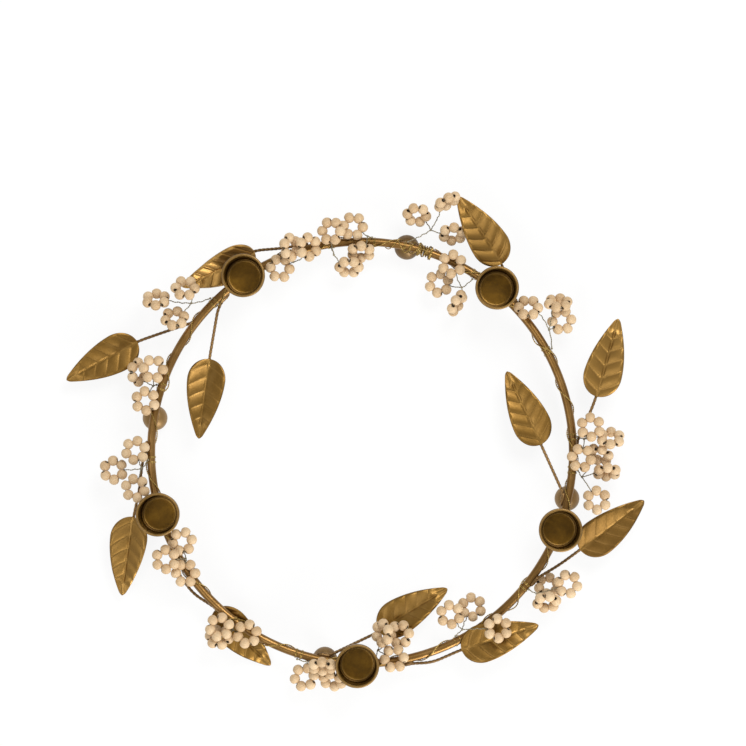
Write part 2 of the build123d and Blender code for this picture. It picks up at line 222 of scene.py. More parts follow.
# How finely wires are followed: steps in a turn of a twist, the longest step, points round a bent corner,
# and the most of a run that a corner's curve may take
steps_per_twist = 9
longest_step = 1.0
corner_points = 9
corner_share = 0.48


def frames_along(points):
    """Tangents and two square directions that turn as little as they can along a line of points."""
    ways = np.gradient(points, axis=0)
    ways /= np.linalg.norm(ways, axis=1)[:, None]
    upright = abs(ways[0][2]) >= 0.9
    side = np.cross(ways[0], (1.0, 0.0, 0.0) if upright else (0.0, 0.0, 1.0))
    sides = []
    for way in ways:
        side = unit(side - way * side.dot(way))
        sides.append(side)
    sides = np.array(sides)
    return ways, sides, np.cross(ways, sides)


def evenly(points, step):
    """The same line with points a step apart."""
    points = np.asarray(points, float)
    runs = np.linalg.norm(np.diff(points, axis=0), axis=1)
    walked = np.concatenate(((0,), np.cumsum(runs)))
    stops = np.linspace(0, walked[-1], max(3, int(walked[-1] / step) + 1))
    return np.stack([np.interp(stops, walked, points[:, i]) for i in range(3)], axis=1), stops


def tube(points, radius, sides=8, closed=False):
    """A round wire along points, with radius one number or one for each point."""
    if closed:
        ways = np.roll(points, -1, axis=0) - np.roll(points, 1, axis=0)
        ways /= np.linalg.norm(ways, axis=1)[:, None]
        middle = points.mean(axis=0)
        a = points - middle
        a -= ways * np.sum(a * ways, axis=1)[:, None]
        a /= np.linalg.norm(a, axis=1)[:, None]
        b = np.cross(ways, a)
    else:
        ways, a, b = frames_along(points)
    turn = np.linspace(0, 2 * pi, sides, endpoint=False)
    radius = np.broadcast_to(np.asarray(radius, float), len(points))
    rings = points[:, None, :] + radius[:, None, None] * (
        np.cos(turn)[None, :, None] * a[:, None, :] + np.sin(turn)[None, :, None] * b[:, None, :]
    )
    faces = grid_faces(len(points), sides, wrap_rows=closed, wrap_columns=True)
    if not closed:
        last = (len(points) - 1) * sides
        faces.append(tuple(range(sides))[::-1])
        faces.append(tuple(range(last, last + sides)))
    return rings.reshape(-1, 3), faces, {}


def twisted(points, strand_radius, pitch, sides=6, offset=None):
    """Two strands of wire twisted together along points, each an offset from their middle."""
    line, walked = evenly(points, min(pitch / steps_per_twist, longest_step))
    ways, a, b = frames_along(line)
    turn = 2 * pi * walked / pitch
    reach = strand_radius if offset is None else offset
    strands = []
    for start in (0, pi):
        side = np.cos(turn + start)[:, None] * a + np.sin(turn + start)[:, None] * b
        strands.append(tube(line + reach * side, strand_radius, sides))
    return joined(strands)


def bent(points, reach):
    """A wire bent at each corner of points: the corner becomes a curve that starts a reach before it."""
    points = [np.asarray(p, float) for p in points]
    line = [points[0]]
    for before, corner, after in zip(points, points[1:], points[2:]):
        shorter = min(np.linalg.norm(corner - before), np.linalg.norm(after - corner))
        near = min(reach, corner_share * shorter)
        start = corner + unit(before - corner) * near
        end = corner + unit(after - corner) * near
        for t in np.linspace(0, 1, corner_points):
            line.append((1 - t) ** 2 * start + 2 * t * (1 - t) * corner + t * t * end)
    line.append(points[-1])
    return np.array(line)


# Hand-bent wire: how far its kinks stand out, how fast they follow each other to the side and up,
# how a bow leans towards its far end, and the points in a run
wire_kink = 0.28
side_kink_rate = 1.3
up_kink_rate = 1.7
bow_near_end = 0.7
bow_gain = 0.5
bow_points = 41


def bowed(start, end, amount, seed):
    """A hand-bent run from start to end that wanders, and bows to one side by a share of its length."""
    way = end - start
    run = np.linalg.norm(way)
    some_way = unit(np.array((sin(seed * 2.1), cos(seed * 1.3), 1.5 * sin(seed * 3.7 + 1))))
    side = np.cross(unit(way), some_way)
    up = np.cross(side, unit(way))
    t = np.linspace(0, 1, bow_points)[:, None]
    fade = np.sin(pi * t)
    bow = side * (amount * run * fade * (bow_near_end + bow_gain * t))
    kinks = side * np.sin(run * t * side_kink_rate + seed) + up * np.sin(run * t * up_kink_rate + 2 * seed)
    return start + way * t + bow + wire_kink * fade * kinks


def lathe(profile, segments, attributes):
    """A shape turned about Z from a profile of (radius, height), with attributes for each of its points."""
    turn = np.linspace(0, 2 * pi, segments, endpoint=False)
    profile = np.asarray(profile, float)
    rings = np.stack(
        [
            profile[:, None, 0] * np.cos(turn),
            profile[:, None, 0] * np.sin(turn),
            np.broadcast_to(profile[:, None, 1], (len(profile), segments)),
        ],
        axis=2,
    )
    faces = grid_faces(len(profile), segments, wrap_columns=True)
    spread = {key: np.repeat(np.asarray(values, float), segments) for key, values in attributes.items()}
    return rings.reshape(-1, 3), faces, spread


def piece(name, shape, material, body, nodes):
    """A shape as an object of the scene that stands for CAD nodes."""
    vertices, faces, attributes = shape
    mesh = bpy.data.meshes.new(name)
    mesh.from_pydata((vertices * METRE).tolist(), [], faces)
    for key, values in attributes.items():
        values = np.asarray(values, np.float32)
        vector = values.ndim == 2
        layer = mesh.attributes.new(key, "FLOAT_VECTOR" if vector else "FLOAT", "POINT")
        layer.data.foreach_set("vector" if vector else "value", values.ravel())
    mesh.polygons.foreach_set("use_smooth", np.ones(len(mesh.polygons), bool))
    mesh.materials.append(material)
    made = bpy.data.objects.new(name, mesh)
    bpy.context.scene.collection.objects.link(made)
    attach(made, body)
    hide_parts(*nodes)
    return made


# Materials
class Nodes:
    """A new material's node tree with short calls for the nodes that are used here."""

    def __init__(self, name):
        self.material = bpy.data.materials.new(name)
        self.material.use_nodes = True
        self.tree = self.material.node_tree
        self.shader = self.tree.nodes["Principled BSDF"]

    def add(self, kind, inputs=None, **settings):
        node = self.tree.nodes.new(kind)
        for key, value in settings.items():
            setattr(node, key, value)
        for key, value in (inputs or {}).items():
            self.feed(node.inputs[key], value)
        return node

    def feed(self, socket, value):
        if isinstance(value, bpy.types.NodeSocket):
            self.tree.links.new(value, socket)
        else:
            socket.default_value = value

    def set(self, **values):
        for key, value in values.items():
            self.feed(self.shader.inputs[key.replace("_", " ")], value)

    def place(self):
        return self.add("ShaderNodeTexCoord").outputs["Object"]

    def attribute(self, name, output="Fac"):
        return self.add("ShaderNodeAttribute", attribute_name=name).outputs[output]

    def noise(self, vector, scale, detail=4.0, roughness=0.55, distortion=0.0):
        return self.add("ShaderNodeTexNoise", {
            "Vector": vector, "Scale": scale, "Detail": detail,
            "Roughness": roughness, "Distortion": distortion,
        }).outputs["Fac"]

    def stretched(self, vector, scale):
        return self.add("ShaderNodeMapping", {"Vector": vector, "Scale": scale}).outputs["Vector"]

    def ramp(self, factor, stops):
        node = self.add("ShaderNodeValToRGB", {"Fac": factor})
        points = node.color_ramp.elements
        while len(points) < len(stops):
            points.new(0.5)
        for point, (where, colour) in zip(points, stops):
            point.position = where
            point.color = (*colour, 1)
        return node.outputs["Color"]

    def range(self, value, from_low, from_high, to_low, to_high):
        return self.add("ShaderNodeMapRange", {
            "Value": value, "From Min": from_low, "From Max": from_high,
            "To Min": to_low, "To Max": to_high,
        }).outputs["Result"]

    def math(self, operation, a, b):
        return self.add("ShaderNodeMath", {0: a, 1: b}, operation=operation).outputs[0]

    def sum(self, *values):
        total = values[0]
        for value in values[1:]:
            total = self.math("ADD", total, value)
        return total

    def times(self, value, factor):
        return self.math("MULTIPLY", value, factor)

    def mix(self, factor, a, b, blend="MIX"):
        """Two colours mixed. A Mix node has them as its inputs 6 and 7, and the result as its output 2."""
        inputs = {"Factor": factor, 6: a, 7: b}
        return self.add("ShaderNodeMix", inputs, data_type="RGBA", blend_type=blend).outputs[2]

    def bump(self, height, strength, distance):
        return self.add("ShaderNodeBump", {
            "Height": height, "Strength": strength, "Distance": distance}).outputs["Normal"]


def colour(r, g, b):
    """An on-screen colour of 0 to 255 as the linear colour that materials take."""
    def linear(v):
        v /= 255
        return v / 12.92 if v <= 0.04045 else ((v + 0.055) / 1.055) ** 2.4
    return linear(r), linear(g), linear(b)


def antique_brass(name, dark, middle, light, rough=(0.36, 0.5), patch=60.0, cloudy=0.5, metal=0.9):
    """Old brass: cloudy patina, brushed streaks and specks, with painted shade, painted light and highlights,
    and a tint that is partly patina and partly painted light bounced inside a cup.
    """
    brush_stretch = (900, 900, 60)
    speck_scale = 1500.0
    # Colour of painted shade, and a tint that is partly patina and partly painted light bounced between a
    # cup's walls
    painted_shade_colour = [v * left for v, left in zip(dark, (0.34, 0.27, 0.14))]
    deep_tint = (1.0, 0.86, 0.2)
    half = cloudy / 2
    n = Nodes(name)
    place = n.place()
    cloud = n.noise(place, patch, 5, 0.58, 0.4)
    brushed = n.noise(n.stretched(place, brush_stretch), 1.0, 3, 0.6)
    speck = n.noise(place, speck_scale, 2, 0.5)
    tone = n.sum(
        n.range(cloud, 0.3, 0.7, 0.5 - half, 0.5 + half),
        n.range(brushed, 0.3, 0.7, -0.04, 0.04),
        n.range(speck, 0.35, 0.7, -0.03, 0.04),
    )
    base = n.ramp(tone, [(0.1, dark), (0.5, middle), (0.9, light)])
    # Painted shade, painted light and highlights, then the tint of patina and bounced light, each by an
    # attribute
    base = n.mix(n.attribute("shade"), base, (*painted_shade_colour, 1))
    base = n.mix(n.attribute("wear"), base, (*light, 1))
    base = n.mix(n.attribute("deep"), base, (*deep_tint, 1), "MULTIPLY")
    n.set(Base_Color=base, Metallic=metal, Coat_Weight=0.18, Coat_Roughness=0.32)
    n.set(Roughness=n.range(n.times(n.sum(cloud, brushed), 0.5), 0.3, 0.7, rough[1], rough[0]))
    n.set(Normal=n.bump(n.sum(n.times(brushed, 0.4), n.times(speck, 0.5)), 0.07, 0.0002))
    return n.material


def raw_wood(name):
    """Raw turned wood: each bead has its own tone, fine grain along its axis and pores, with painted shade in
    its hole.
    """
    n = Nodes(name)
    local = n.attribute("bead_local", "Vector")
    grain = n.noise(n.stretched(local, (1.6, 1.6, 0.25)), 1.3, 5, 0.62, 0.6)
    fibre = n.noise(n.stretched(local, (9, 9, 0.9)), 1.0, 2, 0.5)
    tone = n.sum(n.range(grain, 0.28, 0.72, 0.0, 0.62), n.range(n.attribute("bead_tone"), 0, 1, -0.02, 0.36))
    base = n.ramp(tone, [
        (0.0, colour(174, 140, 100)),
        (0.3, colour(195, 164, 123)),
        (0.62, colour(211, 183, 144)),
        (1.0, colour(222, 198, 163)),
    ])
    pore, hole_shade = colour(176, 139, 98), colour(52, 30, 12)
    base = n.mix(n.range(fibre, 0.52, 0.75, 0.0, 0.4), base, (*pore, 1))
    # Painted shade inside the hole
    base = n.mix(n.attribute("shade"), base, (*hole_shade, 1))
    n.set(Base_Color=base, Metallic=0.0)
    n.set(Roughness=n.range(grain, 0.3, 0.7, 0.5, 0.68))
    n.set(Normal=n.bump(n.sum(fibre, grain), 0.22, 0.00012))
    return n.material


def wire_metal(name, dark, light, metal, rough):
    """Drawn wire: small changes of tone along its length and fine die marks."""
    n = Nodes(name)
    place = n.place()
    patch = n.noise(place, 220.0, 4, 0.6)
    marks = n.noise(place, 2600.0, 2, 0.5)
    tone = n.sum(n.range(patch, 0.3, 0.7, 0, 0.8), n.range(marks, 0.4, 0.7, 0, 0.2))
    n.set(Base_Color=n.ramp(tone, [(0.1, dark), (0.9, light)]))
    n.set(Metallic=metal, Roughness=n.range(patch, 0.3, 0.7, rough[1], rough[0]))
    n.set(Normal=n.bump(marks, 0.12, 0.0001))
    return n.material


hoop_brass = antique_brass(
    "hoop_brass", colour(103, 74, 30), colour(130, 95, 45), colour(162, 124, 72), rough=(0.3, 0.43))
cup_brass = antique_brass(
    "cup_brass", colour(96, 73, 30), colour(124, 95, 48), colour(158, 125, 76),
    rough=(0.4, 0.54), patch=110.0)
foot_brass = antique_brass(
    "foot_brass", colour(92, 71, 38), colour(120, 92, 51), colour(154, 122, 76),
    rough=(0.42, 0.56), metal=0.7)
leaf_brass = antique_brass(
    "leaf_brass", colour(110, 79, 27), colour(134, 99, 39), colour(166, 128, 66), rough=(0.36, 0.48))
stem_wire = antique_brass("stem_wire", colour(88, 64, 34), colour(118, 89, 50), colour(152, 118, 72))
binding_gold = wire_metal("binding_wire", colour(124, 98, 44), colour(206, 175, 104), 0.95, (0.28, 0.44))
sprig_dark = wire_metal("sprig_wire", colour(112, 104, 82), colour(172, 162, 134), 0.55, (0.34, 0.5))
bead_wood = raw_wood("bead_wood")


# Hoop: the bent rod with its open butt seam
hoop_steps = 541
hoop_sides = 28


def hoop_shape():
    opening = degrees(seam_gap / hoop_radius) / 2
    angles = np.linspace(seam_angle + opening, seam_angle + 360 - opening, hoop_steps)
    line = np.array([ring_point(a) for a in angles])
    return tube(line, rod_radius, hoop_sides)


piece("look_hoop", hoop_shape(), hoop_brass, "ring", ["hoop"])


def turned(rows, segments):
    """A shape turned about Z from rows of radius, height, painted shade, painted light and the tint of patina
    and bounced light, closed at both ends.
    """
    rows = np.array(rows)
    looks = {key: rows[:, i] for i, key in enumerate(("shade", "wear", "deep"), 2)}
    vertices, faces, attributes = lathe(rows[:, :2], segments, looks)
    last = (len(rows) - 1) * segments
    faces.append(tuple(range(segments))[::-1])
    faces.append(tuple(range(last, last + segments)))
    return vertices, faces, attributes


# Ball feet: turned balls, rubbed flat where they stand, with a neck of braze at the rod.
# The spot and the neck are rows of radius and height, and the ball reaches from one to the other.
foot_segments = 64
worn_spot = [(0.5, 0.0)]
ball_from, ball_to, ball_steps = -84, 66, 39
braze_neck = [(2.5, 14.62), (2.05, 14.8), (1.65, 15.1), (1.3, 15.4)]
# Painted light and painted shade over whole feet that catch more or less light than the rest
foot_painted_light = {"left": 0.75, "right": 0.55, "front": 0.1}
foot_painted_shade = {"back": 0.25}


def foot_shape(where):
    ball = foot_diameter / 2
    turns = np.radians(np.linspace(ball_from, ball_to, ball_steps))
    profile = worn_spot + [(ball * cos(t), ball + ball * sin(t)) for t in turns] + braze_neck
    # Painted light or painted shade over the whole foot
    shade, wear = foot_painted_shade.get(where, 0.0), foot_painted_light.get(where, 0.0)
    vertices, faces, attributes = turned([(r, z, shade, wear, 0.0) for r, z in profile], foot_segments)
    return vertices + ring_point(foot_angles[where], 0, -rod_height), faces, attributes


for where in foot_angles:
    node = f"ball_foot_{where}"
    piece(f"look_{node}", foot_shape(where), foot_brass, "ring", [node])


# Candle cups: drawn and spun, with a rolled rim and a raised line round the floor that gets a painted
# highlight
cup_segments = 96
axis_radius = 0.4
base_round = 2.3
above_base_round = 0.7
below_rim = 0.25
rim_crease = 0.12
rim_round = 0.8
lip_round = 0.4
below_lip = 0.2
above_floor_round = 0.4
floor_round = 1.4
floor_line_inset = 1.5
floor_line_half_width = 0.25
floor_line_foot = 0.05
floor_line_height = 0.2
plain_floor_inset = 0.9
wall_shade = 0.6


def cup_shape(angle):
    rim = cup_radius + rim_overhang
    floor_edge = cup_bore_radius - floor_line_inset
    rows = []

    def row(r, z, shade=0.0, wear=0.0, deep=0.0):
        rows.append((r, z, shade, wear, deep))

    def arc(middle_r, middle_z, radius, start, end, steps, **looks):
        for t in np.radians(np.linspace(start, end, steps)):
            row(middle_r + radius * cos(t), middle_z + radius * sin(t), **looks)

    # Outside, from under the base up to the rolled rim: painted shade under the base, on the wall and in the
    # crease below the rim, and a painted highlight on the rim
    row(axis_radius, 0, shade=0.4)
    arc(cup_radius - base_round, base_round, base_round, -90, 0, 7, shade=0.1)
    for z in np.linspace(base_round + above_base_round, cup_height - rim_thickness - below_rim, 8):
        row(cup_radius, z, shade=0.05)
    row(cup_radius + rim_crease, cup_height - rim_thickness, shade=0.35)
    arc(rim - rim_round, cup_height - rim_round, rim_round, -80, 90, 11, wear=0.35)
    # Inside, from the lip down the wall to the floor: painted shade on the lip and wall, a painted highlight
    # on the floor line, and a tint that is partly patina and partly painted bounced light
    arc(cup_bore_radius + lip_round, cup_height - lip_round, lip_round, 90, 180, 5, shade=0.45, deep=0.5)
    for z in np.linspace(cup_height - lip_round - below_lip, cup_floor + floor_round + above_floor_round, 12):
        row(cup_bore_radius, z, shade=wall_shade, deep=1)
    arc(cup_bore_radius - floor_round, cup_floor + floor_round, floor_round, 0, -75, 7,
        shade=wall_shade, deep=1)
    row(floor_edge, cup_floor + floor_line_foot, wear=0.6, deep=0.5)
    row(floor_edge - floor_line_half_width, cup_floor + floor_line_height, wear=1.0, deep=0.3)
    row(floor_edge - 2 * floor_line_half_width, cup_floor + floor_line_foot, wear=0.4, deep=0.7)
    for r in np.linspace(floor_edge - plain_floor_inset, axis_radius, 12):
        row(r, cup_floor, deep=1)
    vertices, faces, attributes = turned(rows, cup_segments)
    return vertices + ring_point(angle, 0, cup_seat), faces, attributes


for where, angle in cup_angles.items():
    node = f"candle_cup_{where}"
    piece(f"look_{node}", cup_shape(angle), cup_brass, "ring", [node])


# Leaves: pressed sheet with a short midrib, swellings between the veins, and a pinched tip
def turn_about(v, axis, angle):
    c, s = cos(radians(angle)), sin(radians(angle))
    return v * c + np.cross(axis, v) * s + axis * axis.dot(v) * (1 - c)


def leaf_axes(leaf):
    """Directions along the midrib, to the leaf's left and out of its upper face."""
    z = np.array((0.0, 0.0, 1.0))
    along = turn_about(np.array((1.0, 0.0, 0.0)), np.array((0.0, 1.0, 0.0)), -leaf.pitch)
    left = turn_about(np.array((0.0, 1.0, 0.0)), along, leaf.roll)
    along = turn_about(along, z, leaf.heading)
    left = turn_about(left, z, leaf.heading)
    return along, left, np.cross(along, left)


def leaf_half_width(share):
    """Half the leaf's width at shares of its length: an oval base, a long taper and a rounded tip."""
    oval = np.sqrt(1 - np.clip(1 - share / widest_share, 0, 1) ** 2)
    tapered = np.clip((share - widest_share) / (1 - widest_share), 0, 1) ** taper_power
    past_round = np.clip((share - 1 + tip_round_share) / tip_round_share, 0, 1)
    fullness = np.where(share < widest_share, oval, 1 - (1 - tip_width_share) * tapered)
    fullness = fullness * np.sqrt(1 - past_round**2)
    least = leaf_base_half_width + (leaf_tip_half_width - leaf_base_half_width) * share
    return np.maximum(least, leaf_width / 2 * fullness)


# How finely a leaf is made: rows over its oval base and over its taper, the step through the base's rows
# that gives the rounded tip's, and points across
base_rows = 26
taper_rows = 76
tip_row_step = 3
leaf_columns = 73
# Pressed form: heights and reaches in millimetres, places as shares of the length or the half width
fold_depth = 1.6
fold_flare = 0.45
fold_round = 0.1
midrib_height = 0.4
midrib_reach = 0.75
midrib_fade = (0.1, 0.28)
vein_start = 0.06
vein_spacing = 0.165
vein_slope = 0.6
vein_curve = 0.012
vein_wander = 0.35
vein_offset = 0.02
square_to_vein = 0.86
plain_by_midrib = (0, 1.3)
plain_edge = (0.82, 1)
plain_tip = (0.8, 0.88)
groove_depth = 0.08
groove_reach = 0.3
lip_height = 0.2
lip_place = 0.62
lip_reach = 0.32
lip_fade = (0.1, 0.35)
lip_lost = 0.5
swelling_height = 0.46
swelling_lean = 0.8
crease = (0.8, 0.86)
crease_slant = 0.012
crease_depth = 0.25
flat_end = (0.97, 1)
ridge_height = 0.75
ridge_width_share = 0.28
ridge_least_reach = 0.15
edge_wave = 0.22
edge_wave_rate = 9
edge_turn = (0.9, 1)
edge_drop = 0.25
# Painted shade on the under face, along the edge and in the grooves, and painted highlights on the midrib,
# the lips and the tip's ridge
under_shade = 0.35
edge_line = (0.94, 1)
edge_shade = 0.12
groove_shade = 0.22
midrib_wear = 0.35
lip_wear = 0.45
ridge_wear = 0.45
# How deep the veins are pressed: in most leaves, and in the ones where they show most or least
usual_relief = 0.85
relief_spread = 0.15
leaf_relief = {"01": 1.7, "03": 0.55, "04": 1.2, "05": 1.2, "08": 0.5, "10": 1.35, "11": 1.1}
# Painted light and painted shade over whole leaves and stems that catch more or less light than the rest
leaf_painted_light = {"01": 1.0, "04": 0.4, "10": 0.4, "11": 0.2}
leaf_painted_shade = {"02": 0.08, "03": 0.2, "07": 0.12, "08": 0.32}
stem_painted_light = {"03": 0.45, "09": 0.45, "10": 0.2}
stem_painted_shade = {"06": 0.2, "07": 0.3}


def leaf_grid():
    """Shares of the length and of the half width, in rows that lie close where the outline turns fast."""
    quarter = np.linspace(0, pi / 2, base_rows)
    share = np.concatenate((
        widest_share * (1 - np.cos(quarter)),
        np.linspace(widest_share, 1 - tip_round_share, taper_rows)[1:],
        1 - tip_round_share * (1 - np.sin(quarter[1::tip_row_step])),
    ))
    return np.meshgrid(share, np.linspace(-1, 1, leaf_columns), indexing="ij")


def pressed_veins(seed, s, q, y):
    """Veins that leave the midrib at a slant: the swelling between them, their grooves and raised lips."""
    wander = vein_wander * np.sin(seed * 1.7 + np.abs(y) * 0.3)
    slant = s * leaf_length - vein_slope * np.abs(y) - vein_curve * y * y + wander
    phase = (slant / leaf_length - vein_start - vein_offset * np.sign(q) * sin(seed)) / vein_spacing
    part_way = phase - np.floor(phase)
    cell_length = vein_spacing * leaf_length * square_to_vein
    along_cell = part_way * cell_length
    off_vein = np.minimum(along_cell, cell_length - along_cell)
    inside = smooth(*plain_by_midrib, np.abs(y))
    inside = inside * (1 - smooth(*plain_edge, np.abs(q))) * (1 - smooth(*plain_tip, s))
    swelling = inside * 4 * part_way**swelling_lean * (1 - part_way)
    groove = inside * hump(off_vein, groove_reach)
    lip = inside * hump(along_cell - lip_place, lip_reach) * (1 - lip_lost * smooth(*lip_fade, s))
    return swelling, groove, lip


def sheet_faces(rows, columns):
    """Faces of a sheet: its upper face, its under face with the points that follow, and the cut edge."""
    count = rows * columns
    faces = grid_faces(rows, columns)
    shown = [tuple(reversed(f)) for f in faces]
    backs = [tuple(i + count for i in f) for f in faces]
    rim = [r * columns for r in range(rows)] + [(rows - 1) * columns + c for c in range(1, columns)]
    rim += [r * columns + columns - 1 for r in range(rows - 2, -1, -1)] + list(range(columns - 2, 0, -1))
    sides = [(b, a, a + count, b + count) for a, b in zip(rim, rim[1:] + rim[:1])]
    return shown + backs + sides


def leaf_shape(leaf):
    seed = float(leaf.name)
    s, q = leaf_grid()
    half = leaf_half_width(s)
    y = q * half
    size = half / (leaf_width / 2)
    fold = fold_depth * (np.sqrt(q * q + fold_round**2) - fold_round) - fold_flare * q * q
    lift = leaf_camber * np.sin(pi * s) + leaf_cupping * fold * size
    # The midrib stands proud only over the stem's end and is a plain fold from there on
    midrib = hump(y, midrib_reach) * (1 - smooth(*midrib_fade, s))
    lift += midrib_height * midrib
    relief = leaf_relief.get(leaf.name, usual_relief + relief_spread * sin(seed * 2.3))
    swelling, groove, lip = pressed_veins(seed, s, q, y)
    lift += relief * (swelling_height * swelling + lip_height * lip - groove_depth * groove)
    # The tip is pinched: past a crease it is folded the other way, up to a ridge that gets a painted
    # highlight
    past_crease = smooth(*crease, s + crease_slant * np.abs(y)) * (1 - smooth(*flat_end, s))
    ridge = past_crease * hump(y, ridge_width_share * half + ridge_least_reach)
    lift += ridge_height * ridge - crease_depth * past_crease
    # The hand-cut edge waves slightly and turns down
    lift += edge_wave * np.abs(q) ** 3 * np.sin(edge_wave_rate * s + seed * 1.9 + np.sign(q))
    lift -= edge_drop * smooth(*edge_turn, np.abs(q)) * size
    base = ring_point(leaf.angle, leaf.out, leaf.up)
    along, left, normal = leaf_axes(leaf)
    under = base + np.stack((s * leaf_length, y, lift), axis=2) @ np.array((along, left, normal))
    top = under + leaf_thickness * normal
    # Painted shade along the edge, in the grooves and on the under face; painted highlights on the midrib,
    # lips and ridge; painted light or shade over the whole leaf
    edge = smooth(*edge_line, np.abs(q))
    whole_shade, whole_light = leaf_painted_shade.get(leaf.name, 0), leaf_painted_light.get(leaf.name, 0)
    shade = np.clip(whole_shade + edge_shade * edge + groove_shade * relief * groove, 0, 1)
    wear = np.clip(whole_light + midrib_wear * midrib + lip_wear * relief * lip + ridge_wear * ridge, 0, 1)
    attributes = {
        "shade": np.concatenate((shade.ravel(), np.full(s.size, under_shade))),
        "wear": np.concatenate((wear.ravel(), np.zeros(s.size))),
    }
    return np.vstack((top.reshape(-1, 3), under.reshape(-1, 3))), sheet_faces(*s.shape), attributes


for leaf in leaves:
    node = f"leaf_{leaf.name}"
    piece(f"look_{node}", leaf_shape(leaf), leaf_brass, "ring", [node])


# Stems: twisted rope, brazed along the rod in a smooth blob
rope_strand_radius = 0.39 * stem_diameter
rope_offset = 0.11 * stem_diameter
rope_pitch = 5.0
rope_sides = 12
stem_bend = 6.0
braze_before = 1.1
braze_after = 0.44
braze_sink = 0.55
braze_least = 0.1
braze_swell = 1.15


def stem_route(leaf):
    base = ring_point(leaf.angle, leaf.out, leaf.up)
    along, _, normal = leaf_axes(leaf)
    under = base - normal * (braze_clearance + stem_diameter / 2)
    on_rod = [rod_point(a, leaf.stem_seat, stem_offset) for a in (leaf.stem_start, leaf.stem_end)]
    between = [ring_point(*stop) for stop in leaf.route]
    return [*on_rod, *between, under, under + along * stem_under_leaf]


def braze_blob(leaf):
    """Solder that runs along the stem's end and wets the rod."""
    angles = np.linspace(leaf.stem_start - braze_before, leaf.stem_end + braze_after, 17)
    line = np.array([rod_point(a, leaf.stem_seat, stem_offset - braze_sink) for a in angles])
    t = np.linspace(-1, 1, len(line))
    return tube(line, braze_least + braze_swell * np.sqrt(1 - t**2), 12)


stem_shapes = []
for leaf in leaves:
    rope = twisted(bent(stem_route(leaf), stem_bend), rope_strand_radius, rope_pitch, rope_sides, rope_offset)
    for vertices, faces, _ in (rope, braze_blob(leaf)):
        # Painted light or painted shade over the whole stem and its braze
        stem_shapes.append((vertices, faces, {
            "shade": np.full(len(vertices), stem_painted_shade.get(leaf.name, 0.0)),
            "wear": np.full(len(vertices), stem_painted_light.get(leaf.name, 0.0)),
        }))
piece("look_leaf_stems", joined(stem_shapes), stem_wire, "ring", ["leaf_stems"])


# Wound wire: the lashing over the seam and the long winding, both of two twisted strands
points_per_quarter = 16
binding_strand_radius = binding_diameter / 4
lashing_pitch = 2.2
winding_pitch = 2.8
lashing_quarters = 4 * lashing_turns


def along_lashing(quarter):
    share = quarter / lashing_quarters - 0.5
    return rod_point(seam_angle + degrees(share * lashing_length / hoop_radius), 90 * quarter, binding_offset)


lashing_line = np.array([
    along_lashing(i / points_per_quarter) for i in range(points_per_quarter * lashing_quarters + 1)])

# A second, careless layer crosses the close turns and runs on towards the back foot
crossing_turns = 5
crossing_start = seam_angle - 3.2
crossing_seat = 40
crossing_step = 1.25
crossing_stray = 0.9
crossing_stray_rate = 0.37
crossing_offset = binding_offset + 0.75 * binding_diameter
crossing_lift = 0.25
crossing_lift_rate = 5
turns = np.linspace(0, crossing_turns, 40 * crossing_turns)
strays = crossing_stray * np.sin(2 * pi * turns * crossing_stray_rate + 1.0)
crossing_line = np.array([
    rod_point(
        angle, 360 * turn + crossing_seat, crossing_offset + crossing_lift * sin(crossing_lift_rate * turn))
    for angle, turn in zip(crossing_start + crossing_step * turns + strays, turns)
])

# Loose ends run from the lashing over the back foot
LooseEnd = namedtuple("LooseEnd", "start end turns seat stand_off")
loose_ends = [
    LooseEnd(74.0, 84.5, 1.6, 60, 0.5),
    LooseEnd(72.0, 81.0, -1.3, 120, 0.8),
    LooseEnd(75.5, 80.0, 0.8, 20, 1.0),
]
loose_strand_radius = binding_diameter / 5
loose_kink = 0.2
loose_kink_rate = 11


def loose_line(loose):
    shares = np.linspace(0, 1, 60)
    return np.array([
        rod_point(
            loose.start + (loose.end - loose.start) * share,
            loose.seat + 360 * loose.turns * share,
            binding_offset + loose.stand_off * sin(pi * share) + loose_kink * sin(loose_kink_rate * share),
        )
        for share in shares
    ])


layers = (lashing_line, crossing_line)
lashing_shapes = [twisted(line, binding_strand_radius, lashing_pitch) for line in layers]
lashing_shapes += [twisted(loose_line(loose), loose_strand_radius, lashing_pitch) for loose in loose_ends]
piece("look_seam_lashing", joined(lashing_shapes), binding_gold, "ring", ["seam_lashing"])

# The winding's stops on the rod, each with the quarter turns that lead up to it
lashing_reach = degrees((lashing_length / 2 + winding_clear_of_lashing) / hoop_radius)
foot_reach = degrees(winding_clear_of_foot / hoop_radius)
winding_stops = [
    (seam_angle - lashing_reach, 0),
    (cup_angles["back_right"], 5),
    (foot_angles["right"] - 360, 18),
    (cup_angles["right"] - 360, 2),
    (cup_angles["front"] - 360, 20),
    (foot_angles["front"] - 360, 2),
    (cup_angles["left"] - 360, 18),
    (foot_angles["left"] - 360, 6),
    (cup_angles["back_left"] - 360, 14),
    (foot_angles["back"] + foot_reach - 360, 11),
]
stop_angles = [angle for angle, _ in winding_stops]
stop_quarters = np.cumsum([quarters for _, quarters in winding_stops])


def along_winding(quarter):
    return rod_point(np.interp(quarter, stop_quarters, stop_angles), -90 * quarter, binding_offset)


winding_line = np.array([
    along_winding(i / points_per_quarter) for i in range(points_per_quarter * stop_quarters[-1] + 1)])

